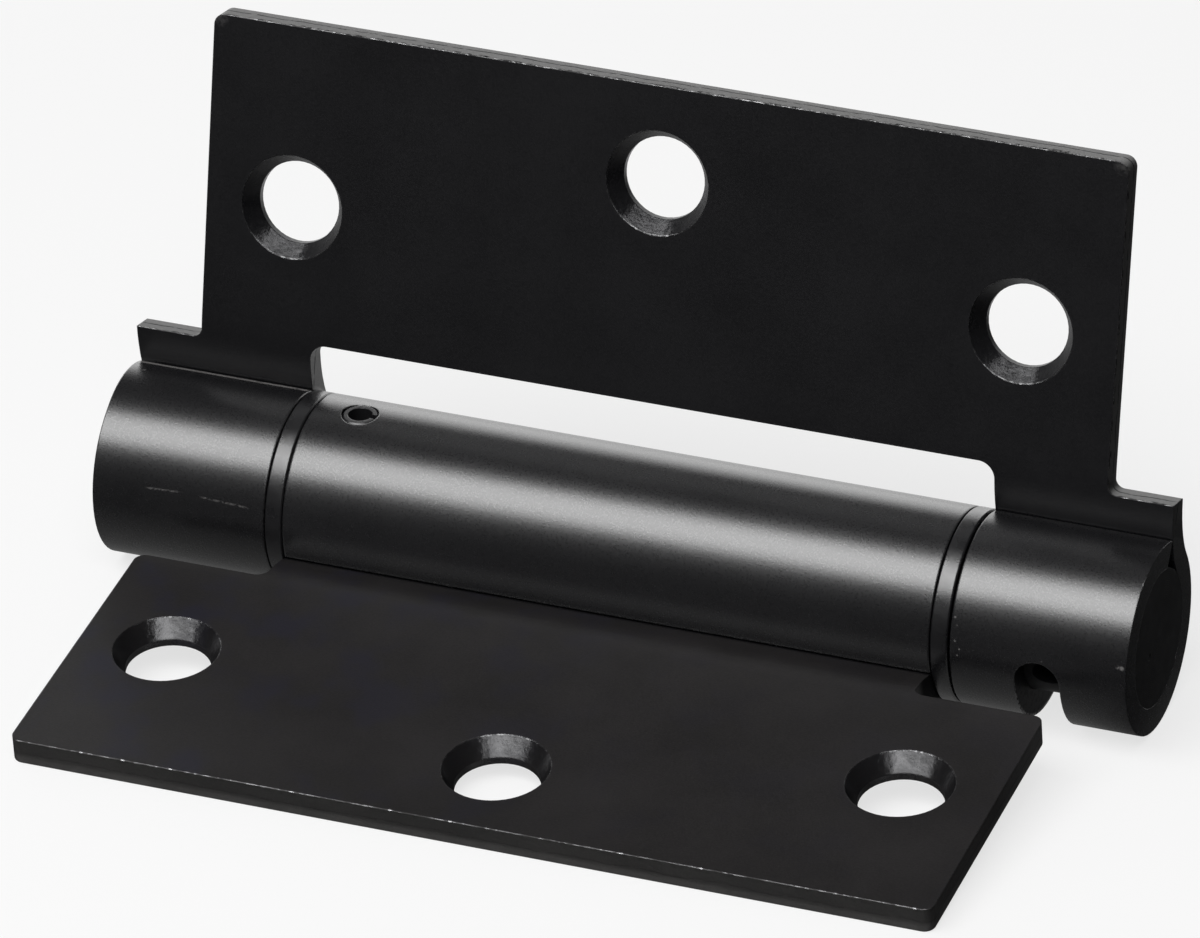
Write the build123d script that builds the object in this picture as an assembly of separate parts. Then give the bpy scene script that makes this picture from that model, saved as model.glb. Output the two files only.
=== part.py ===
from build123d import *
import math
import os

os.makedirs("parts", exist_ok=True)

# A spring loaded door hinge, in millimetres. Two steel leaves are rolled round one barrel.
# The flat leaf carries the long middle knuckle, the upright leaf the two short end knuckles.
# A torsion spring inside the middle knuckle is held by a pinned plug at the left end
# and wound by a drilled plug that shows through a slot in the right knuckle.

# Sheet that both leaves are stamped and rolled from
sheet = 2.9
leaf_length = 101.6
upright_reach = 50.25
flat_reach = 49.7
flat_trim = 0.14
barrel_diameter = 20.6
face_offset = 0.69
flare_radius = 14.0
seam_gap = 0.2
rolled_edge = 0.2
leaf_corner = 1.2

# Outline of the upright leaf, with its ears, end knuckles and window
left_overhang = 7.14
right_overhang = 6.9
ear_height = 14.26
ear_corner = 1.0
ear_spread = 0.35
window_left = 12.45
window_right_margin = 12.4
window_height = 15.6
window_corner = 1.8

# Outline of the flat leaf beside its middle knuckle
notch_depth = 15.4
notch_corner = 1.3

# Thrust rings between the knuckles, with the play each has
ring_thickness = 1.9
ring_play = 0.1
end_play = 0.25
ring_clearance = 0.12
ring_edge = 0.15

# Screw holes, three to a leaf, the middle one further from the barrel
hole_left_margin = 9.7
hole_right_margin = 10.5
outer_row = 30.35
middle_row = 39.7
hole_diameter = 9.0
sink_diameter = 11.4
sink_depth = 2.1

# How far the upright leaf leans back from square with the flat one, in degrees
lean_back = 17.2

# Slot for the winding pin, in the right knuckle, in degrees from the leaf's own direction
slot_width = 5.0
slot_margin = 2.9
slot_first = 97.0
slot_last = 222.0

# Plugs, cap and spigot in the barrel
running_clearance = 0.05
seat_clearance = 0.01
plug_edge = 0.3
anchor_length = 14.0
spigot_diameter = 7.0
spigot_length = 11.5
cap_thickness = 4.0
cap_gap = 0.2
cap_mark_y = -2.85
cap_mark_z = -0.4
cap_mark_diameter = 0.9
cap_mark_depth = 0.35
plug_engagement = 11.0

# Blind holes in the winding plug, for the winding pin
pin_hole_diameter = 3.2
pin_hole_depth = 4.5
pin_hole_count = 4
pin_hole_angle = 192.5

# Slotted spring pin that locks the anchor plug
roll_pin_diameter = 4.0
roll_pin_wall = 0.7
roll_pin_slot = 0.8
roll_pin_length = 6.0
roll_pin_place = 5.15
roll_pin_angle = 86.0
roll_pin_recess = 0.1
roll_pin_edge = 0.25

# Torsion spring and the rod that keeps it straight
wire_diameter = 2.5
coil_diameter = 10.0
coil_gap = 0.05
leg_bend = 2.0
leg_length = 4.0
leg_clearance = 0.1
spring_play = 0.1
rod_diameter = 7.0
rod_seat = 6.0
rod_gap = 0.3

# Places along the barrel, from the leaves' left edge
barrel_radius = barrel_diameter / 2
bore_radius = barrel_radius - sheet
plug_radius = bore_radius - running_clearance
seat_radius = bore_radius - seat_clearance
barrel_left = -left_overhang
barrel_right = leaf_length + right_overhang
window_right = leaf_length - window_right_margin
slot_centre = leaf_length - slot_margin
hole_pitch = (leaf_length - hole_left_margin - hole_right_margin) / 2
hole_middle = hole_left_margin + hole_pitch
left_ring_start = window_left + ring_play
middle_left = left_ring_start + ring_thickness + ring_play
right_ring_start = window_right - end_play - ring_thickness
middle_right = right_ring_start - ring_play
anchor_left = middle_left + ring_play
anchor_right = anchor_left + anchor_length
spigot_end = middle_left + spigot_length
roll_pin_x = middle_left + roll_pin_place
plug_left = middle_right - plug_engagement
cap_left = barrel_right - cap_thickness
plug_right = cap_left - cap_gap

# Section of a leaf: where its flat ends and the sweep to the barrel starts
mounting_face = face_offset + sheet
sweep_depth = mounting_face + flare_radius
sweep_reach = barrel_radius + flare_radius
sweep_start = math.sqrt(sweep_reach ** 2 - sweep_depth ** 2)
sweep_turn = math.degrees(math.atan2(sweep_depth, sweep_start))

# Own frame: its origin is the middle screw hole of the flat leaf, at the mounting face
to_own_frame = Pos(-hole_middle, middle_row, mounting_face)


def polar(radius, degrees):
    """A point of the barrel's section."""
    return (radius * math.cos(math.radians(degrees)), radius * math.sin(math.radians(degrees)))


def bar(radius, start, end):
    """A round bar on the barrel's axis, between two places along it."""
    upright = Cylinder(radius, end - start, align=(Align.CENTER, Align.CENTER, Align.MIN))
    return Pos(start, 0, 0) * Rot(0, 90, 0) * upright


def spoke(radius, place, degrees, inner, outer):
    """A round bar across the barrel, from one distance off the axis to another."""
    upright = Cylinder(radius, outer - inner, align=(Align.CENTER, Align.CENTER, Align.MIN))
    return Pos(place, 0, 0) * Rot(degrees - 90, 0, 0) * Pos(0, 0, inner) * upright


def rolled_section(reach):
    """Section of a leaf: flat, swept back, then rolled until the lip meets the leaf's own face."""
    crown_radius = flare_radius + sheet
    cosine = (barrel_radius ** 2 + sweep_reach ** 2 - crown_radius ** 2) / (2 * barrel_radius * sweep_reach)
    lip = sweep_turn - math.degrees(math.acos(cosine) + seam_gap / barrel_radius)
    roll = 360 - sweep_turn + lip
    return make_face([
        Line((reach, -face_offset), (reach, -mounting_face)),
        Line((reach, -mounting_face), (sweep_start, -mounting_face)),
        CenterArc((sweep_start, -sweep_depth), flare_radius, 90, 90 - sweep_turn),
        CenterArc((0, 0), barrel_radius, -sweep_turn, -roll),
        Line(polar(barrel_radius, -lip), polar(bore_radius, -lip)),
        CenterArc((0, 0), bore_radius, -sweep_turn, -roll),
        CenterArc((sweep_start, -sweep_depth), crown_radius, 90, 90 - sweep_turn),
        Line((sweep_start, -face_offset), (reach, -face_offset)),
    ])


def on_mounting_side(point):
    """Whether a point lies on the leaf's outer skin: its mounting face, sweep or barrel."""
    y, z = point.Y, point.Z
    if y >= sweep_start:
        return abs(z + mounting_face) < 0.001
    if math.hypot(y, z) > barrel_radius + 0.001:
        return abs(math.hypot(y - sweep_start, z + sweep_depth) - flare_radius) < 0.001
    return abs(math.hypot(y, z) - barrel_radius) < 0.001


def is_sheared_edge(edge):
    """Whether an edge of the mounting side is one that the stamping press rolled over."""
    if not all(on_mounting_side(edge @ share) for share in (0, 0.3, 0.7, 1)):
        return False
    if min((edge @ 0.5).X - barrel_left, barrel_right - (edge @ 0.5).X) < ear_spread:
        return False
    if edge.geom_type == GeomType.CIRCLE and abs(edge.radius - hole_diameter / 2) < 0.001:
        return False
    along_barrel = abs((edge % 0.5).X) > 0.999
    middle = edge @ 0.5
    smooth = middle.Y < barrel_radius + 0.5 or abs(middle.Y - sweep_start) < 0.001
    return not (along_barrel and smooth)


def screw_hole(place, row):
    """Cutter for one countersunk screw hole."""
    land = Cylinder(hole_diameter / 2, 4 * sheet)
    sink = Cone(hole_diameter / 2, sink_diameter / 2, sink_depth, align=(Align.CENTER, Align.CENTER, Align.MAX))
    return Pos(place, row, -face_offset) * (land + sink)


def cut_leaf(outline, reach):
    """A leaf: the rolled section along the barrel, cut to the outline of its stamped blank."""
    start, end = barrel_left - 2 * ear_spread, barrel_right + 2 * ear_spread
    rolled = extrude(Plane.YZ.offset(start) * rolled_section(reach), end - start)
    blank = extrude(make_face(outline), 2 * reach, both=True)
    leaf = rolled & blank
    for step, row in ((-1, outer_row), (0, middle_row), (1, outer_row)):
        leaf -= screw_hole(hole_middle + step * hole_pitch, row)
    leaf = leaf.solid()
    return leaf.fillet(rolled_edge, leaf.edges().filter_by(is_sheared_edge))


def flat_leaf():
    """The leaf with the middle knuckle."""
    back = -2 * barrel_radius
    left, right = flat_trim, leaf_length - flat_trim
    outline = FilletPolyline(
        (middle_left, back), (middle_right, back), (middle_right, notch_depth), (right, notch_depth),
        (right, flat_reach), (left, flat_reach), (left, notch_depth), (middle_left, notch_depth),
        radius=[0, 0, notch_corner, leaf_corner, leaf_corner, leaf_corner, leaf_corner, notch_corner],
        close=True,
    )
    pin_hole = spoke(roll_pin_diameter / 2 + seat_clearance, roll_pin_x, roll_pin_angle, 0, 2 * barrel_radius)
    return mirror(cut_leaf(outline, flat_reach), about=Plane.XZ) - pin_hole


def winding_slot():
    """Cutter for the slot round the right knuckle, with round ends."""
    end_turn = math.degrees(slot_width / 2 / barrel_radius)
    first, last = slot_first + end_turn, slot_last - end_turn
    inner, outer = bore_radius - 1, barrel_radius + 1
    wall = Pos(slot_centre, (inner + outer) / 2) * Rectangle(slot_width, outer - inner)
    slot = revolve(Rot(first, 0, 0) * wall, axis=Axis.X, revolution_arc=last - first)
    for degrees in (first, last):
        slot += spoke(slot_width / 2, slot_centre, degrees, inner, outer)
    return slot


def upright_leaf():
    """The leaf with the two end knuckles, leaning back. Its ears spread a little where the sheet was bent."""
    back = -2 * barrel_radius
    neck = barrel_radius - sheet
    outline = FilletPolyline(
        (barrel_left, back), (window_left, back), (window_left, window_height), (window_right, window_height),
        (window_right, back), (barrel_right, back), (barrel_right, neck), (barrel_right + ear_spread, ear_height),
        (leaf_length, ear_height), (leaf_length, upright_reach), (0, upright_reach), (0, ear_height),
        (barrel_left - ear_spread, ear_height), (barrel_left, neck),
        radius=[0, 0, window_corner, window_corner, 0, 0, 0, 0,
                ear_corner, leaf_corner, leaf_corner, ear_corner, 0, 0],
        close=True,
    )
    return Rot(90 - lean_back, 0, 0) * (cut_leaf(outline, upright_reach) - winding_slot())


def thrust_ring(start):
    """A flat ring between two knuckles, running on the plug inside it."""
    ring = bar(barrel_radius, start, start + ring_thickness)
    ring = chamfer(ring.edges().filter_by(GeomType.CIRCLE), ring_edge)
    return ring - bar(plug_radius + ring_clearance, start - 1, start + ring_thickness + 1)


def left_pivot_plug():
    """The turned plug pressed in the left knuckle, with the spigot that the hinge turns on."""
    plug = bar(seat_radius, barrel_left, window_left) + bar(plug_radius, window_left, middle_left)
    plug = chamfer(plug.edges().group_by(Axis.X)[0], plug_edge)
    spigot = bar(spigot_diameter / 2, middle_left, spigot_end)
    return plug + chamfer(spigot.edges().group_by(Axis.X)[-1], plug_edge)


def coil_span():
    """Start and length of the coil, and the number of its turns."""
    start = anchor_right + leg_bend + spring_play
    length = plug_left - leg_bend - spring_play - start
    return start, length, length / (wire_diameter + coil_gap)


def coil_end(start, length, turns, share):
    """Centre and direction of the wire at a share of the coil, which is wound left-handed."""
    radius = coil_diameter / 2
    angle = -2 * math.pi * turns * share
    rate = -2 * math.pi * turns * radius
    place = Vector(start + length * share, radius * math.cos(angle), radius * math.sin(angle))
    along = Vector(length, -rate * math.sin(angle), rate * math.cos(angle)).normalized()
    return place, along


def spring_leg(place, along, outward):
    """The bend at one end of the coil, then the straight leg along the barrel."""
    side = (outward - along * outward.dot(along)).normalized()
    turn = math.acos(outward.dot(along))
    elbow = place + (along * math.sin(turn) + side * (1 - math.cos(turn))) * leg_bend
    wire = Circle(wire_diameter / 2)
    bend = sweep(Plane(place, z_dir=along) * wire, path=Edge.make_tangent_arc(place, along, elbow))
    leg = extrude(Plane(elbow, z_dir=outward) * wire, leg_length)
    return bend + leg, elbow


def torsion_spring():
    """The left-handed coil with a leg at each end, and the places of the legs."""
    start, length, turns = coil_span()
    first, first_along = coil_end(start, length, turns, 0)
    last, last_along = coil_end(start, length, turns, 1)
    coil = Helix(length / turns, length, coil_diameter / 2, lefthand=True)
    path = Plane((start, 0, 0), x_dir=(0, 1, 0), z_dir=(1, 0, 0)) * coil
    wire = Plane(first, z_dir=first_along) * Circle(wire_diameter / 2)
    spring = sweep(wire, path=path, is_frenet=True)
    left_leg, left_elbow = spring_leg(first, first_along * -1, Vector(-1, 0, 0))
    right_leg, right_elbow = spring_leg(last, last_along, Vector(1, 0, 0))
    return spring + left_leg + right_leg, left_elbow, right_elbow


def leg_hole(elbow, face, outward):
    """Cutter for the hole that a spring leg stands in, from a plug's face inwards."""
    depth = leg_length + 2 * leg_clearance
    hole = Circle(wire_diameter / 2 + leg_clearance)
    return extrude(Plane((face, elbow.Y, elbow.Z), z_dir=outward) * hole, depth)


def anchor_plug(left_elbow):
    """The plug that holds the spring's left leg, locked in the middle knuckle by the spring pin."""
    plug = bar(seat_radius, anchor_left, anchor_right)
    plug = chamfer(plug.edges(), plug_edge)
    plug -= bar(spigot_diameter / 2 + running_clearance, anchor_left - 1, anchor_right + 1)
    pin_seat = barrel_radius - roll_pin_recess - roll_pin_length
    plug -= spoke(roll_pin_diameter / 2 + seat_clearance, roll_pin_x, roll_pin_angle, pin_seat, barrel_radius)
    return plug - leg_hole(left_elbow, anchor_right, Vector(-1, 0, 0))


def roll_pin():
    """The slotted spring pin through the knuckle's wall into the anchor plug."""
    top = barrel_radius - roll_pin_recess
    pin = Cylinder(roll_pin_diameter / 2, roll_pin_length, align=(Align.CENTER, Align.CENTER, Align.MAX))
    pin = chamfer(pin.edges().filter_by(GeomType.CIRCLE), roll_pin_edge)
    pin -= Cylinder(roll_pin_diameter / 2 - roll_pin_wall, 3 * roll_pin_length)
    pin -= Pos(roll_pin_diameter / 2, 0, 0) * Box(roll_pin_diameter, roll_pin_slot, 3 * roll_pin_length)
    return Pos(roll_pin_x, 0, 0) * Rot(roll_pin_angle - 90, 0, 0) * Pos(0, 0, top) * pin


def winding_plug(right_elbow):
    """The drilled plug that holds the spring's right leg and winds it up."""
    plug = bar(plug_radius, plug_left, plug_right)
    plug = chamfer(plug.edges().filter_by(GeomType.CIRCLE), plug_edge)
    plug -= bar(spigot_diameter / 2 + running_clearance, plug_left - 1, plug_left + rod_seat)
    plug -= leg_hole(right_elbow, plug_left, Vector(1, 0, 0))
    for step in range(pin_hole_count):
        degrees = pin_hole_angle + step * 360 / pin_hole_count
        plug -= spoke(pin_hole_diameter / 2, slot_centre, degrees, plug_radius - pin_hole_depth, barrel_radius)
    return plug


def guide_rod():
    """The rod inside the spring, from the anchor plug to the winding plug."""
    rod = bar(rod_diameter / 2, spigot_end + rod_gap, plug_left + rod_seat - rod_gap)
    return chamfer(rod.edges().filter_by(GeomType.CIRCLE), plug_edge)


def right_end_cap():
    """The flush disc that closes the right knuckle, with the small punch mark on its face."""
    cap = bar(seat_radius, cap_left, barrel_right)
    cap = chamfer(cap.edges().group_by(Axis.X)[0], plug_edge)
    mark = Cone(0, cap_mark_diameter / 2, cap_mark_depth, align=(Align.CENTER, Align.CENTER, Align.MAX))
    return cap - Pos(barrel_right, cap_mark_y, cap_mark_z) * Rot(0, 90, 0) * mark


spring, left_elbow, right_elbow = torsion_spring()
pieces = {
    "flat_leaf": flat_leaf(),
    "upright_leaf": upright_leaf(),
    "left_thrust_ring": thrust_ring(left_ring_start),
    "right_thrust_ring": thrust_ring(right_ring_start),
    "left_pivot_plug": left_pivot_plug(),
    "anchor_plug": anchor_plug(left_elbow),
    "anchor_roll_pin": roll_pin(),
    "torsion_spring": spring,
    "spring_guide_rod": guide_rod(),
    "winding_plug": winding_plug(right_elbow),
    "right_end_cap": right_end_cap(),
}
for node, piece in pieces.items():
    placed = to_own_frame * piece
    export_step(placed, f"parts/{node}.step")
    print(node, round(placed.volume, 1), "mm3")
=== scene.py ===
# %% [markdown]
# # A spring loaded door hinge in black satin steel
# The hinge is two steel leaves rolled round one barrel. Its shape is complete in the CAD frame, down to
# the countersinks, the rings between the knuckles and the slotted pin. Only the spring is made again here,
# as a smooth copy of the CAD spring. What Blender adds is the finish: a thin black coat with a fine grain,
# edges rubbed bright by handling, turned countersinks, sheared edges, a few scratches, and the light that
# shows them.

# %% Load the frame
import math

import bpy
import bmesh
from mathutils import Matrix, Vector


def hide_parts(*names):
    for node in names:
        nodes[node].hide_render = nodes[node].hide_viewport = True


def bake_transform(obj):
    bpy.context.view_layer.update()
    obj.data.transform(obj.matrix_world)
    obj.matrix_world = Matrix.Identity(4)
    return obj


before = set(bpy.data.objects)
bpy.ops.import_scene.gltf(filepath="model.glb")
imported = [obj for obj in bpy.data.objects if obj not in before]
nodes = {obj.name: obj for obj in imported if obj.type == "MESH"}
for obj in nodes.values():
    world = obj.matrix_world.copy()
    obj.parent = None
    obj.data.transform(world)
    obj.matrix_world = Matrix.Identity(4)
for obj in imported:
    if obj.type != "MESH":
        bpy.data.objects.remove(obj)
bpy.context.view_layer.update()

print("CAD nodes:", sorted(nodes))

# %% [markdown]
# ## Colours as they are written
# The Standard view transform shows a colour as its number says. Filmic or AgX would grey the black coat
# and the white floor, so the plain transform is the right one for a product picture.

# %% Colour management
scene = bpy.context.scene
scene.view_settings.view_transform = "Standard"
print("view transform:", scene.view_settings.view_transform)

# %% [markdown]
# ## The hinge's own measures
# The frame has its origin in the flat leaf's middle screw hole. The barrel runs along X, above and
# behind that hole. Every pattern below is placed from these few numbers, in millimetres, so that a worn
# edge lies on the edge and a turned countersink fills its cone.

# %% Measures
MM = 0.001
AXIS = Vector((0.0, 39.7, 3.59))
LEFT_EDGE = -50.4
BARREL_RADIUS = 10.3
BARREL_ENDS = (-7.2, 108.0)
FACE = -0.69
LEAN_BACK = math.radians(17.2)
REST_TILT = math.radians(7.865)
HOLES = ((9.7, 30.35), (50.4, 39.7), (91.1, 30.35))
HOLE_RADIUS = 4.5
SINK_RADIUS = 5.7
SINK_DEPTH = 2.1
print("barrel axis at", tuple(AXIS), "mm")

# %% [markdown]
# ## The camera
# The photograph was taken with a long lens from the front right, above. A camera fitted to the edges of
# the leaves and the barrel gives its direction, its distance and a slight roll. It is placed by those
# numbers: a direction from azimuth and elevation, then a turn about the line of sight.

# %% Camera
AZIMUTH = math.radians(23.613)
ELEVATION = math.radians(35.069)
ROLL = math.radians(-4.116)
DISTANCE = 1.26305
LENS = 362.49
SENSOR = 36.0
TARGET = Vector((-0.00336, 0.0397, 0.012692))


def facing(direction, distance):
    """The place and turn of a camera or lamp that looks at the hinge from a direction."""
    turn = direction.to_track_quat("Z", "Y").to_matrix().to_4x4()
    return Matrix.Translation(TARGET + direction * distance) @ turn


back = Vector((
    math.sin(AZIMUTH) * math.cos(ELEVATION),
    -math.cos(AZIMUTH) * math.cos(ELEVATION),
    math.sin(ELEVATION),
))
camera_data = bpy.data.cameras.new("photo_camera")
camera_data.lens = LENS
camera_data.sensor_width = SENSOR
camera_data.sensor_fit = "HORIZONTAL"
camera = bpy.data.objects.new("photo_camera", camera_data)
scene.collection.objects.link(camera)
camera.matrix_world = facing(back, DISTANCE) @ Matrix.Rotation(ROLL, 4, "Z")
scene.camera = camera
print("camera at", tuple(round(v, 4) for v in camera.matrix_world.translation))

# %% [markdown]
# ## Shader maths as Python
# A material is a graph of small nodes. Written out node by node it hides what it means, so one class
# stands for a socket and lets Python's operators add the Math nodes: `1 - mask` is one Math node.
# Everything else goes through one method, which takes a node's type, its settings and its inputs.

# %% Sockets with operators
class Wire:
    """One output socket. An expression on wires adds the Math nodes that work it out."""

    def __init__(self, finish, socket):
        self.finish = finish
        self.socket = socket

    def math(self, operation, first, second=0.0):
        return self.finish.node("ShaderNodeMath", {"operation": operation}, {0: first, 1: second})

    def __add__(self, other):
        return self.math("ADD", self, other)

    def __sub__(self, other):
        return self.math("SUBTRACT", self, other)

    def __rsub__(self, other):
        return self.math("SUBTRACT", other, self)

    def __mul__(self, other):
        return self.math("MULTIPLY", self, other)

    def __abs__(self):
        return self.math("ABSOLUTE", self)

    def least(self, other):
        return self.math("MINIMUM", self, other)

    def most(self, other):
        return self.math("MAXIMUM", self, other)

    def sine(self):
        return self.math("SINE", self)

    def root(self):
        return self.math("SQRT", self)

    def ramp(self, start, end, low=0.0, high=1.0):
        """Eases from low to high while the wire goes from start to end."""
        limits = {"Value": self, "From Min": start, "From Max": end, "To Min": low, "To Max": high}
        return self.finish.node("ShaderNodeMapRange", {"interpolation_type": "SMOOTHSTEP"}, limits)


class Finish:
    """A material, or the world, while its nodes are being added."""

    def __init__(self, owner):
        owner.use_nodes = True
        self.owner = owner
        self.tree = owner.node_tree
        self.tree.nodes.clear()

    def node(self, kind, settings=None, inputs=None, output=0):
        made = self.tree.nodes.new(kind)
        for name, value in (settings or {}).items():
            setattr(made, name, value)
        for name, value in (inputs or {}).items():
            if isinstance(value, Wire):
                self.tree.links.new(value.socket, made.inputs[name])
            else:
                made.inputs[name].default_value = value
        return Wire(self, made.outputs[output]) if made.outputs else made

    def vector(self, operation, *values, output=0):
        """Vector Math, for places, directions and their lengths."""
        return self.node("ShaderNodeVectorMath", {"operation": operation}, dict(enumerate(values)), output)

    def parts(self, vector):
        """The three numbers of a vector."""
        split = self.node("ShaderNodeSeparateXYZ", inputs={0: vector}).socket.node
        return [Wire(self, socket) for socket in split.outputs]

    def blend(self, share, first, second):
        """A colour between two colours."""
        return self.node("ShaderNodeMix", {"data_type": "RGBA"}, {0: share, 6: first, 7: second}, output=2)

    def noise(self, place, scale, detail=2.0, roughness=0.5):
        """Cloudy noise, with a scale in cells for each millimetre."""
        inputs = {"Vector": place, "Scale": scale, "Detail": detail, "Roughness": roughness}
        return self.node("ShaderNodeTexNoise", inputs=inputs)

    def mix(self, share, under, over):
        """One shader over another."""
        return self.node("ShaderNodeMixShader", inputs={0: share, 1: under, 2: over})

    def rays(self):
        """Whether a ray comes from the camera, from a mirroring surface, or through something clear."""
        kinds = ("Is Camera Ray", "Is Glossy Ray", "Is Transmission Ray")
        return [self.node("ShaderNodeLightPath", output=kind) for kind in kinds]


print("a wire also knows:", sorted(name for name in vars(Wire) if not name.startswith("_")))

# %% [markdown]
# ## The light
# The bright stripe on the barrel is one long soft box above and a little in front, seen in the curve of
# the tube. The curve shows where the box hangs: a stripe 38 degrees forward of the top, seen from 35
# degrees up, mirrors a light 27 degrees forward of straight up. It is lit all along the barrel, so the
# box is longer than the hinge. A weak second lamp stands low behind, where the white sweep of such a
# studio is lit. It draws the light lines on the top edges and lights the hinge's back.

# %% Lamps
LAMP_DISTANCE = 1.0
KEY_DIRECTION = Vector((-0.12, -0.445, 0.875)).normalized()
KEY_SIZE = (1.2, 0.60)
KEY_POWER = 11.0
SWEEP_DIRECTION = Vector((-0.20, 0.97, 0.10)).normalized()
SWEEP_SIZE = (1.6, 0.45)
SWEEP_POWER = 2.2


def area_lamp(name, direction, size, power):
    """A rectangular lamp that faces the hinge, with its long side along the barrel."""
    lamp = bpy.data.lights.new(name, "AREA")
    lamp.shape = "RECTANGLE"
    lamp.size, lamp.size_y = size
    lamp.energy = power
    holder = bpy.data.objects.new(name, lamp)
    scene.collection.objects.link(holder)
    holder.matrix_world = facing(direction, LAMP_DISTANCE)


area_lamp("key_soft_box", KEY_DIRECTION, KEY_SIZE, KEY_POWER)
area_lamp("sweep_light", SWEEP_DIRECTION, SWEEP_SIZE, SWEEP_POWER)
print("lamps:", KEY_POWER, "W above and", SWEEP_POWER, "W low behind")

# %% [markdown]
# ## The room
# The camera sees plain white. Polished steel sees a room with a white sweep low down behind the hinge
# and to its left, and dark cards above, at the right and behind the camera. Those cards are what keeps
# black steel black. The world reads its own direction for that, never the camera's.

# %% World
WHITE = (1.0, 1.0, 1.0, 1.0)
BLACK = (0.0, 0.0, 0.0, 1.0)
ROOM_DARK = 0.03
SOFT_LIGHT = (0.10, 0.40)

world = bpy.data.worlds.new("studio")
scene.world = world
room = Finish(world)
to_right, to_back, to_top = room.parts(room.node("ShaderNodeTexCoord", output="Generated"))
seen, mirrored, through = room.rays()
sweep = to_right.ramp(0.45, -0.05) * to_back.ramp(0.0, 0.5) * to_top.ramp(0.55, 0.24)
soft = to_right.ramp(0.8, -0.6, *SOFT_LIGHT)
lit = sweep.ramp(0.0, 1.0, ROOM_DARK, 1.0) * mirrored + soft * (1 - mirrored)
brightness = seen.most(through).most(lit)
backdrop = room.node("ShaderNodeBackground", inputs={"Color": WHITE, "Strength": brightness})
room.node("ShaderNodeOutputWorld", inputs={"Surface": backdrop})
print("room seen by steel:", ROOM_DARK, "to 1")

# %% [markdown]
# ## The floor
# The hinge rests on its barrel and on the front edge of the flat leaf, so the floor is tilted under it
# by the angle between them. It is one large sheet of pale paper that keeps the hinge's soft shadow. In
# the steel it shows painted shade: white behind the barrel, darker below it, in front and towards the dark
# card.

# %% Floor
FLOOR_HALF = 3.0
FLOOR_GAP = 0.00005
FLOOR_GLOW = 0.72
PAPER = (0.8, 0.8, 0.8, 1.0)
floor_normal = Vector((0.0, math.sin(REST_TILT), math.cos(REST_TILT)))
lowest = (AXIS - floor_normal * BARREL_RADIUS) * MM

sheet = bmesh.new()
bmesh.ops.create_grid(sheet, x_segments=2, y_segments=2, size=FLOOR_HALF)
bmesh.ops.rotate(sheet, matrix=Matrix.Rotation(-REST_TILT, 3, "X"), verts=sheet.verts)
bmesh.ops.translate(sheet, vec=lowest - floor_normal * FLOOR_GAP, verts=sheet.verts)
floor_mesh = bpy.data.meshes.new("floor")
sheet.to_mesh(floor_mesh)
sheet.free()
floor = bpy.data.objects.new("floor", floor_mesh)
scene.collection.objects.link(floor)

paper = Finish(bpy.data.materials.new("pale_paper"))
spot_right, spot_back, _ = paper.parts(paper.node("ShaderNodeTexCoord", output="Object"))
seen, mirrored, through = paper.rays()
matt = paper.node("ShaderNodeBsdfDiffuse", inputs={"Color": PAPER})
white = paper.node("ShaderNodeEmission", inputs={"Color": WHITE, "Strength": 1.0})
black = paper.node("ShaderNodeEmission", inputs={"Color": BLACK, "Strength": 0.0})
# Painted shade, seen only in reflections: the paper is dark under and in front of the barrel and at the
# right, white behind.
painted_floor_shade = spot_back.ramp(0.012, 0.085, 0.03, 1.0) * spot_right.ramp(0.062, 0.048, 0.04, 1.0)
mirror_view = paper.mix(painted_floor_shade, black, white)
plain_view = paper.mix(seen.most(through) * FLOOR_GLOW, matt, white)
surface = paper.mix(mirrored, plain_view, mirror_view)
paper.node("ShaderNodeOutputMaterial", inputs={"Surface": surface})
floor.data.materials.append(paper.owner)
print("floor touches the barrel at", tuple(round(v, 5) for v in lowest))

# %% [markdown]
# ## Where a point is on the hinge
# Patterns are placed in millimetres. One helper turns Object coordinates into a place measured from the
# barrel's axis. A second one turns such a place, or a direction, into a leaf's own terms: along the leaf,
# away from the barrel, and out of the side with the countersinks. Both leaves then share one finish,
# though one of them lies down and the other leans back.

# %% Places
UPRIGHT_TURN = math.pi / 2 - LEAN_BACK
END_ON = (0.7, 0.9)


def millimetres(finish):
    """A place in millimetres, from the barrel's axis at the leaves' left edge."""
    here = finish.node("ShaderNodeTexCoord", output="Object")
    return finish.vector("MULTIPLY_ADD", here, (1 / MM,) * 3, (-LEFT_EDGE, -AXIS.y, -AXIS.z))


def from_leaf(finish, arrow, turn, side):
    """A place or a direction as a leaf has it."""
    inputs = {"Vector": arrow, "Angle": -turn}
    turned = finish.node("ShaderNodeVectorRotate", {"rotation_type": "X_AXIS"}, inputs)
    return finish.vector("MULTIPLY", turned, (1.0, side, 1.0))


def axis_distance(finish, place):
    """How far a place is from the barrel's axis."""
    return finish.vector("LENGTH", finish.vector("MULTIPLY", place, (0.0, 1.0, 1.0)), output=1)


def barrel_angle(finish, place):
    """Degrees round the barrel, from level behind it, over the top, to the front."""
    _, across, up = finish.parts(place)
    return up.math("ARCTAN2", up, across) * math.degrees(1.0)


print("leaf turns:", 0.0, round(math.degrees(UPRIGHT_TURN), 1), "degrees")

# %% [markdown]
# ## The black coat
# The coat is an oxide blacking: thin, satin, a little purple in places, with a fine grain that gives the
# highlight a sandy edge. Its colour and its grain are worked out here once for every piece, and so are
# the shaders of a coat and of bare steel. The grain is bump, because it is far below a tenth of a
# millimetre.

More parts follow.
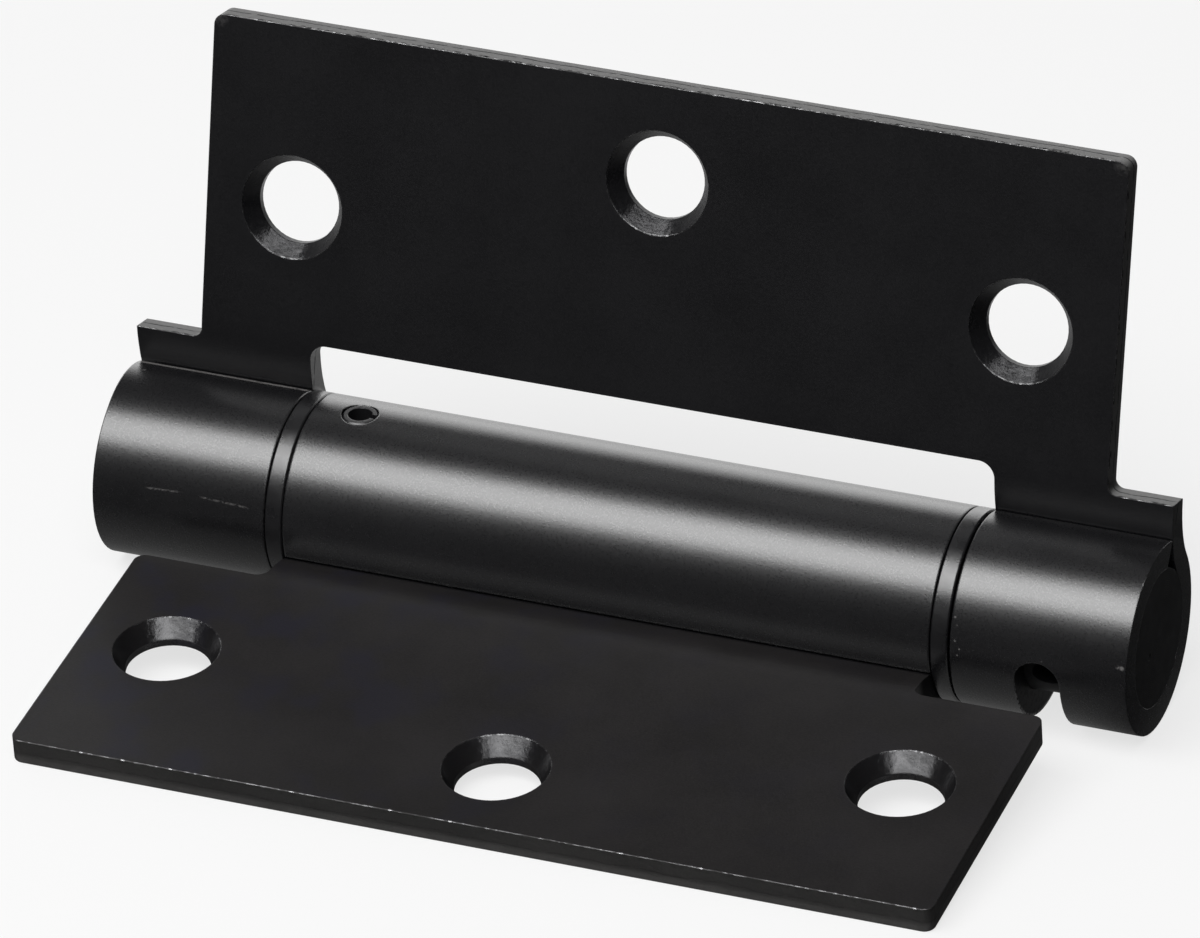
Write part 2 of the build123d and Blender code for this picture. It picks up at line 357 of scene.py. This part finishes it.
# %% Coat
BLUE_BLACK = ((0.0044, 0.0043, 0.0052, 1.0), (0.0086, 0.0085, 0.0096, 1.0))
# Painted light: the flat leaf's brown-black is the same coat as the upright leaf's, painted about twice as
# light because the flat leaf gets more light.
BROWN_BLACK_PAINTED_LIGHTER = ((0.0090, 0.0082, 0.0084, 1.0), (0.0180, 0.0164, 0.0168, 1.0))
CUT_BLACK = ((0.0110, 0.0105, 0.0100, 1.0), (0.0250, 0.0235, 0.0225, 1.0))
PURPLE_BLACK = (0.0120, 0.0114, 0.0185, 1.0)
SCUFF = (0.185, 0.178, 0.175, 1.0)
STEEL = (0.46, 0.46, 0.47, 1.0)
GRAIN_SCALE = 4.5
GRAIN_HEIGHT = 0.0001


def coat_colour(finish, place, tones, purple=None, scuffs=None):
    """Black with soft clouds and a fine speckle, purple patches and pale scuffs."""
    clouds = finish.noise(place, 0.09, 4.0, 0.6)
    speckle = finish.noise(place, 4.0, 2.0, 0.7)
    colour = finish.blend((clouds * 0.45 + speckle * 0.55).ramp(0.32, 0.68), *tones)
    if purple is not None:
        patches = finish.noise(place, 0.11, 3.0, 0.6).ramp(0.48, 0.66) * purple
        colour = finish.blend(patches, colour, PURPLE_BLACK)
    if scuffs is not None:
        colour = finish.blend(scuffs, colour, SCUFF)
    return colour


def coat_grain(finish, place, strength, height, normal):
    """The grain as a bump, with a height of its own added, over a normal."""
    grain = finish.noise(place, GRAIN_SCALE, 3.0, 0.7) + height
    inputs = {"Strength": strength, "Distance": GRAIN_HEIGHT, "Height": grain, "Normal": normal}
    return finish.node("ShaderNodeBump", inputs=inputs)


def coated(finish, colour, rough, bump, index, mirror=0.5):
    """The shader of a coated surface. A higher index makes it mirror more."""
    return finish.node("ShaderNodeBsdfPrincipled", inputs={
        "Base Color": colour, "Roughness": rough, "Normal": bump, "IOR": index, "Specular IOR Level": mirror,
    })


def bare_steel(finish, rough, bump):
    """The shader of steel without its coat."""
    return finish.node("ShaderNodeBsdfPrincipled", inputs={
        "Base Color": STEEL, "Metallic": 1.0, "Roughness": rough, "Normal": bump,
    })


print("coats from", BLUE_BLACK[0][:3], "to", BROWN_BLACK_PAINTED_LIGHTER[1][:3])

# %% [markdown]
# ## The leaves
# A leaf has five kinds of surface. Its faces carry the coat. Its barrel was burnished by the rolling, so
# it mirrors more. Its sheared edges show the press: a burnished band where the punch went in, a crack
# line, then torn steel. Its countersinks were turned and then blacked thinly, so a little steel shines in
# them, and a land is left below. Its sharp edges are rubbed bright in places. Each kind is a mask from
# place and direction.

# %% Masks on a leaf
LEAF_BEVEL = 0.2 * MM
OUTSIDE_BARREL = (11.5, 12.5)


class Leaf:
    """The places and masks that both leaves' finishes are made of."""

    def __init__(self, name, turn, side):
        self.finish = finish = Finish(bpy.data.materials.new(name))
        self.place = millimetres(finish)
        self.local = from_leaf(finish, self.place, turn, side)
        self.along, self.reach, self.height = finish.parts(self.local)
        direction = from_leaf(finish, finish.node("ShaderNodeTexCoord", output="Normal"), turn, side)
        across, _, self.upward = finish.parts(direction)
        self.sideways = abs(across)
        self.on_end = self.sideways.ramp(*END_ON)
        self.angle = barrel_angle(finish, self.place)
        self.from_hole = self.nearest([(*hole, 0.0) for hole in HOLES])
        sunk = self.height.ramp(FACE - SINK_DEPTH - 0.05, FACE - SINK_DEPTH + 0.01)
        self.cone = self.from_hole.ramp(SINK_RADIUS + 0.05, SINK_RADIUS - 0.03) * sunk
        self.land = self.from_hole.ramp(HOLE_RADIUS + 0.1, HOLE_RADIUS + 0.03) * (1 - self.cone)
        radius = axis_distance(finish, self.place)
        self.rolled = radius.ramp(BARREL_RADIUS + 0.5, BARREL_RADIUS + 0.1)
        self.inside = radius.ramp(BARREL_RADIUS - 0.1, BARREL_RADIUS - 0.4) * self.between_ends(0.2)
        self.outer = self.reach.ramp(*OUTSIDE_BARREL)
        self.sheared = self.sheared_faces()
        self.rounded = finish.node("ShaderNodeBevel", {"samples": 6}, {"Radius": LEAF_BEVEL})
        plain = finish.node("ShaderNodeNewGeometry", output="Normal")
        self.edge = (1 - finish.vector("DOT_PRODUCT", self.rounded, plain, output=1)).ramp(0.01, 0.10)

    def nearest(self, spots):
        """How far a point is from the nearest of a few spots on the leaf, whatever its height."""
        flat = self.finish.vector("MULTIPLY", self.local, (1.0, 1.0, 0.0))
        far = [self.finish.vector("DISTANCE", flat, spot, output=1) for spot in spots]
        near = far[0]
        for other in far[1:]:
            near = near.least(other)
        return near

    def between_ends(self, margin):
        """Between the barrel's two end faces, easing in over a margin."""
        left, right = BARREL_ENDS
        return self.along.ramp(left, left + margin) * self.along.ramp(right, right - margin)

    def sheared_faces(self):
        """The faces that the press cut: ends of the sheet beside its outline and its knuckles."""
        outline = abs(self.upward).ramp(0.6, 0.4) * self.outer
        ends = self.on_end * self.between_ends(0.4)
        return outline.most(ends) * (1 - self.cone) * (1 - self.land)


print("holes at", HOLES, "mm along and away from the barrel")

# %% [markdown]
# ## Turned cones and sheared edges
# A countersinking tool burnishes its cone, so one side of the cone catches the light in a sharp sector.
# A steady slope under the bump tilts the whole cone for that, with very fine rings and some chatter on
# it. The sheared edge has lines across the sheet, a crack and torn steel. Those are heights for the bump
# too, with a mask for what is torn open.

# %% Countersinks and sheared edges
CONE_SLOPE = -11.0
RING_TURNS = 70.0
RING_HEIGHT = 0.05
CHATTER = 1.6
TOOL_MARK = 0.00003
CRACK_DEPTH = 1.15
CRACK_WAVER = 0.9
CRACK_HEIGHT = 1.5
LINE_HEIGHT = 1.4


def tool_marks(leaf):
    """The burnished slope of a cone, with fine rings and chatter of the tool, as a normal."""
    rings = (leaf.height * RING_TURNS).sine() * RING_HEIGHT
    slope = leaf.height * CONE_SLOPE + rings + leaf.finish.noise(leaf.local, 1.4, 3.0) * CHATTER
    inputs = {"Strength": 1.0, "Distance": TOOL_MARK, "Height": slope, "Normal": leaf.rounded}
    return leaf.finish.node("ShaderNodeBump", inputs=inputs)


def press_marks(leaf):
    """Heights and torn lines of a sheared edge: lines across the sheet, a crack, torn steel."""
    finish = leaf.finish
    lines = finish.noise(finish.vector("MULTIPLY", leaf.local, (4.0, 4.0, 0.35)), 1.0, 3.0, 0.6)
    depth = FACE - leaf.height - finish.noise(leaf.local, 0.35, 2.0) * CRACK_WAVER
    crack = abs(depth - CRACK_DEPTH).ramp(0.14, 0.03)
    torn = finish.noise(leaf.local, 2.2, 3.0, 0.7) * depth.ramp(1.1, 1.3, 1.8, 3.0)
    ragged = depth.ramp(0.15, -0.25) * finish.noise(leaf.local, 1.6, 2.0).ramp(0.46, 0.58)
    broken = finish.noise(leaf.local, 0.9, 2.0).ramp(0.32, 0.48)
    return lines * LINE_HEIGHT + torn - crack * CRACK_HEIGHT, (crack * broken).most(ragged)


print("crack line about", CRACK_DEPTH + CRACK_WAVER / 2, "mm below the screw side")

# %% [markdown]
# ## Scratches and bruises
# The photograph shows a few real marks: a pair of long scratches on the front of the left knuckle,
# specks beside the right ring, a pale bruise at the right end, nicks on the front edge and rubbed outer
# corners. A mark on the barrel is a place along it and an angle round it, so it is measured on the tube,
# and noise breaks it up as a real scratch skips.

# %% Marks
DEGREE = BARREL_RADIUS * math.pi / 180
LIP_ANGLE = 65.4
LIP_END = 12.4
CORNERS = ((0.6, 49.8, 0.0), (100.9, 49.8, 0.0))
NICK_REACH = 49.7
NICKS = (0.6, 8.3, 13.0, 18.3, 31.8, 42.7, 49.3, 68.0, 76.7, 99.7)
SCRATCH_SHOWS = 0.35
SCRATCHES = (((-1.3, 159.6), (2.9, 158.6), 0.16), ((5.0, 159.3), (10.9, 160.9), 0.17))
SPECK_SHOWS = 0.6
SPECKS = (
    ((89.6, 150.6), 0.16), ((89.9, 155.2), 0.13), ((89.8, 164.4), 0.22), ((90.3, 169.5), 0.14),
    ((90.1, 173.5), 0.16), ((90.5, 187.0), 0.20), ((91.3, 189.5), 0.12), ((99.3, 168.0), 0.10),
    ((108.4, 187.5), 0.25), ((107.5, 163.0), 0.30), ((108.0, 163.4), 0.34), ((104.9, 184.0), 0.12),
    ((-5.6, 79.0), 0.30), ((14.4, 131.0), 0.15), ((3.8, 172.0), 0.10), ((101.5, 119.0), 0.14),
)


def scratch(leaf, start, end, width):
    """A thin line from one place on the barrel to another."""
    slope = (end[1] - start[1]) / (end[0] - start[0])
    line = leaf.angle - (leaf.along - start[0]) * slope - start[1]
    length = leaf.along.ramp(start[0], start[0] + 0.8) * leaf.along.ramp(end[0], end[0] - 0.8)
    return (abs(line) * DEGREE).ramp(width, width * 0.2) * length


def speck(leaf, centre, radius):
    """A small round bruise on the barrel."""
    sideways = leaf.along - centre[0]
    around = (leaf.angle - centre[1]) * DEGREE
    distance = (sideways * sideways + around * around).root()
    return distance.ramp(radius, radius * 0.4)


def lip_wear_and_highlight(leaf):
    """The rolled sheet's rubbed end at the left knuckle's seam, with a painted highlight on its edge."""
    line = (abs(leaf.angle - LIP_ANGLE) * DEGREE).ramp(0.50, 0.20) * leaf.along.ramp(LIP_END, LIP_END - 0.4)
    return line * leaf.finish.noise(leaf.place, 0.8, 2.0).ramp(0.2, 0.5)


def barrel_marks(leaf):
    """Every scratch and speck of the barrel, broken up by noise, and the lip with its painted highlight."""
    marks = [scratch(leaf, *line) * SCRATCH_SHOWS for line in SCRATCHES]
    marks += [speck(leaf, *spot) * SPECK_SHOWS for spot in SPECKS]
    shown = marks[0]
    for mark in marks[1:]:
        shown = shown.most(mark)
    skips = leaf.finish.noise(leaf.place, 2.6, 2.0).ramp(0.35, 0.6)
    return (shown * skips).most(lip_wear_and_highlight(leaf)) * leaf.rolled


def corner_wear(leaf):
    """Rubbed patches at the two outer corners."""
    return leaf.nearest(CORNERS).ramp(1.2, 0.4) * leaf.finish.noise(leaf.place, 2.0, 3.0).ramp(0.3, 0.7)


def edge_nicks(leaf):
    """Small bright nicks on the front edge."""
    shown = 0.0
    for along in NICKS:
        away = leaf.finish.vector("DISTANCE", leaf.local, (along, NICK_REACH, FACE), output=1)
        shown = away.ramp(0.28, 0.10).most(shown)
    return shown


print("scratches:", len(SCRATCHES), "specks:", len(SPECKS), "nicks:", len(NICKS))

# %% [markdown]
# ## The finish of a leaf
# The masks meet in one surface. The bevel node rounds the sharp edges by a fraction of a millimetre for
# the light alone, which is what draws the thin bright line along a real edge. The face, the barrel and
# the sheared edge differ in how much they mirror, and that number can't vary inside one shader, so three
# coats are mixed. A fourth shader is plain dark and mirrors nothing, for cracks and as painted shade in
# the bore, the countersinks and the flat leaf's notches. Bare steel is a fifth over them: mixing colours
# instead would give a grey paint, because steel has no diffuse colour.

# %% Leaf finish
FACE_INDEX = 1.47
BARREL_INDEX = 2.0
SHEARED_INDEX = 1.9
PLAIN_INDEX = 1.45
LEAF_GRAIN = 0.12
PRESS_HEIGHT = 0.8
COAT_ROUGH = (0.265, 0.32)
ROUGHER = 0.12
STEEL_ROUGH = (0.17, 0.25)
DARK_ROUGH = 0.8
# Painted shade in the bore of the barrel and in the flat leaf's notches.
BORE_PAINTED_SHADE = 0.8
NOTCH_PAINTED_SHADE = 0.85
EDGE_SCUFF = 0.35
SOFT_SCUFF = 0.16
ROLLOVER = (FACE - 1.6, FACE - 2.3)
PURPLE_FADE = (75.0, 5.0, 0.15, 1.0)


def steel_share(leaf, rubbed, flecks, cone_bare, land_bare, flat):
    """How much steel shows: cones, lands and their rims, rubbed edges, and nicks on the flat leaf."""
    sectors = leaf.finish.noise(leaf.local, 0.6, 2.0).ramp(0.35, 0.65, 0.7, 1.0)
    rim = abs(leaf.from_hole - SINK_RADIUS).ramp(0.13, 0.02) * flecks.ramp(0.4, 0.6) * 0.4
    bare = (leaf.cone * cone_bare * sectors).most(rubbed).most(rim).most(leaf.land * land_bare)
    if flat:
        bare = bare.most(edge_nicks(leaf))
    return bare * (1 - leaf.inside)


def cracks_and_painted_shade_share(leaf, torn, cone_painted_shade, flat):
    """How much is plain dark: torn lines, and painted shade in the cones, the bore and the flat leaf's
    notches.
    """
    cracks_and_painted_shade = torn.most(leaf.cone * cone_painted_shade).most(leaf.inside * BORE_PAINTED_SHADE)
    if flat:
        # Painted shade in the notches beside the rings.
        cracks_and_painted_shade = cracks_and_painted_shade.most(leaf.on_end * leaf.reach.ramp(14.0, 12.0) * NOTCH_PAINTED_SHADE)
    return cracks_and_painted_shade


# The cones' share of the plain dark coat is painted shade in the countersinks.
def leaf_finish(name, turn, side, tones, cone_bare, cone_painted_shade, land_bare, edge_wear, split_share, flat):
    """The material of one leaf."""
    leaf = Leaf(name, turn, side)
    finish = leaf.finish
    patchy = finish.noise(leaf.place, 0.45, 4.0, 0.7)
    flecks = finish.noise(leaf.place, 1.7, 3.0, 0.6)
    rubbed = leaf.edge * (patchy.ramp(0.42, 0.62) * 0.3 + flecks.ramp(0.5, 0.62) * 0.7) * edge_wear
    pressed, torn = press_marks(leaf)
    fine = finish.noise(leaf.place, 5.0, 2.0).ramp(0.3, 0.7, *COAT_ROUGH)
    rough = fine + leaf.sheared * ROUGHER + (1 - leaf.rolled) * ROUGHER
    bump = coat_grain(finish, leaf.place, LEAF_GRAIN, pressed * leaf.sheared * PRESS_HEIGHT, leaf.rounded)

    worn = rubbed * EDGE_SCUFF
    purple = marks = None
    if flat:
        purple = leaf.along.ramp(*PURPLE_FADE)
    else:
        worn = worn.most(corner_wear(leaf) * SOFT_SCUFF)
        marks = barrel_marks(leaf)
    rollover = leaf.height.ramp(*ROLLOVER) * leaf.outer * patchy.ramp(0.2, 0.7, 0.5, 1.0)

    def coat(index, *colours):
        """One of the leaf's coats, with its own strength of mirror and its own colours."""
        return coated(finish, coat_colour(finish, leaf.place, *colours), rough, bump, index)

    face = coat(FACE_INDEX, tones, purple, worn)
    tube = coat(BARREL_INDEX, BLUE_BLACK, None, marks)
    cut = coat(SHEARED_INDEX, CUT_BLACK, None, worn.most(rollover * SOFT_SCUFF))
    # Painted shade: a dark coat that mirrors nothing, for cracks and for shade in the bore, cones and
    # notches.
    cracks_and_painted_shade = coated(finish, BLUE_BLACK[0], DARK_ROUGH, bump, PLAIN_INDEX, mirror=0.0)
    steel = bare_steel(finish, flecks.ramp(0.3, 0.7, *STEEL_ROUGH), tool_marks(leaf))
    layers = (
        (leaf.rolled * (1 - leaf.on_end), tube),
        (leaf.sheared * leaf.sideways.ramp(0.4, 0.9, 1.0, 0.35), cut),
        (cracks_and_painted_shade_share(leaf, leaf.sheared * torn * split_share, cone_painted_shade, flat), cracks_and_painted_shade),
        (steel_share(leaf, rubbed, flecks, cone_bare, land_bare, flat), steel),
    )
    surface = face
    for share, shader in layers:
        surface = finish.mix(share, surface, shader)
    finish.node("ShaderNodeOutputMaterial", inputs={"Surface": surface})
    return finish.owner


leaf_materials = {
    # The flat leaf's lighter tones are painted light: the upright leaf's coat, painted lighter.
    "flat_leaf": leaf_finish(
        "flat_leaf_black", turn=0.0, side=-1.0, tones=BROWN_BLACK_PAINTED_LIGHTER, cone_bare=0.12, cone_painted_shade=0.6,
        land_bare=0.26, edge_wear=0.5, split_share=0.15, flat=True),
    "upright_leaf": leaf_finish(
        "upright_leaf_black", turn=UPRIGHT_TURN, side=1.0, tones=BLUE_BLACK, cone_bare=0.13, cone_painted_shade=0.7,
        land_bare=0.04, edge_wear=0.8, split_share=0.85, flat=False),
}
print("leaf finishes:", [material.name for material in leaf_materials.values()])

# %% [markdown]
# ## The turned pieces
# Rings, plugs and cap come off a lathe, so their end faces carry fine circles about the barrel's axis.
# The same function finishes all of them, with a share of bare steel, a roughness, an index that says how
# much the coat mirrors, and the circles' height. The spring is drawn wire and the roll pin is strip
# rolled into a tube, and both stay darker than the rod.

# %% Turned pieces
FEED = 30.0
TURNED_GRAIN = 0.16
TURNED_BEVEL = 0.12 * MM
TURNED_WEAR = 0.04
TURNED = {
    "left_thrust_ring": ("ring_black", 0.01, 0.28, 1.90, 0.3),
    "left_pivot_plug": ("plug_black", 0.02, 0.46, 1.50, 0.5),
    "right_end_cap": ("cap_black", 0.0, 0.50, 1.40, 0.3),
    "winding_plug": ("winding_plug_black", 0.0, 0.60, 1.30, 0.3),
    "anchor_roll_pin": ("roll_pin_steel", 0.07, 0.34, 1.60, 0.1),
    "torsion_spring": ("spring_wire", 0.20, 0.34, 1.60, 0.0),
    "spring_guide_rod": ("ground_rod", 0.95, 0.30, 1.50, 0.3),
}


def turned_finish(name, bare, rough, index, circles):
    """Blacked or bare steel with lathe circles on its end faces."""
    finish = Finish(bpy.data.materials.new(name))
    place = millimetres(finish)
    sideways, _, _ = finish.parts(finish.node("ShaderNodeTexCoord", output="Normal"))
    feed = (axis_distance(finish, place) * FEED).sine() * circles * abs(sideways).ramp(*END_ON)
    worn = finish.noise(place, 0.7, 3.0, 0.6).ramp(0.45, 0.75) * TURNED_WEAR
    ruffle = finish.noise(place, 0.4, 3.0).ramp(0.3, 0.7, rough - 0.03, rough + 0.05)
    rounded = finish.node("ShaderNodeBevel", {"samples": 6}, {"Radius": TURNED_BEVEL})
    bump = coat_grain(finish, place, TURNED_GRAIN, feed, rounded)
    coat = coated(finish, coat_colour(finish, place, BLUE_BLACK), ruffle, bump, index)
    surface = finish.mix((worn + bare).least(1.0), coat, bare_steel(finish, ruffle, bump))
    finish.node("ShaderNodeOutputMaterial", inputs={"Surface": surface})
    return finish.owner


turned_materials = {node_name: turned_finish(*look) for node_name, look in TURNED.items()}
turned_materials["right_thrust_ring"] = turned_materials["left_thrust_ring"]
turned_materials["anchor_plug"] = turned_materials["left_pivot_plug"]
print("turned finishes:", sorted(material.name for material in turned_materials.values()))

# %% [markdown]
# ## The spring
# One leg of the spring stands in the anchor plug and the other in the winding plug, so when the plug is
# wound the coil twists between them. A CAD node is rigid; a copy of the CAD spring stands for it, and the
# node is hidden. Its loose triangles are merged into one skin.

# %% Torsion spring
MERGE = 0.0001

coil = bmesh.new()
coil.from_mesh(nodes["torsion_spring"].data)
bmesh.ops.remove_doubles(coil, verts=coil.verts, dist=MERGE * MM)
coil_mesh = bpy.data.meshes.new("twisting_spring")
coil.to_mesh(coil_mesh)
coil.free()
coil_mesh.shade_smooth()
coil_mesh.materials.clear()
coil_mesh.materials.append(turned_materials["torsion_spring"])
twisting_spring = bpy.data.objects.new("twisting_spring", coil_mesh)
scene.collection.objects.link(twisting_spring)

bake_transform(twisting_spring)
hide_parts("torsion_spring")
print("triangles:", len(coil_mesh.polygons))

# %% [markdown]
# ## The finishes on the pieces
# Each CAD node already has the slots that the record names. Its finish goes into all of them, and the
# node itself is left as it is.

# %% Put the finishes on
materials = {**leaf_materials, **turned_materials}
for name, node in nodes.items():
    for slot in node.material_slots:
        slot.material = materials[name]
print("slots:", {name: len(node.material_slots) for name, node in nodes.items()})

# %% [markdown]
# ## The end
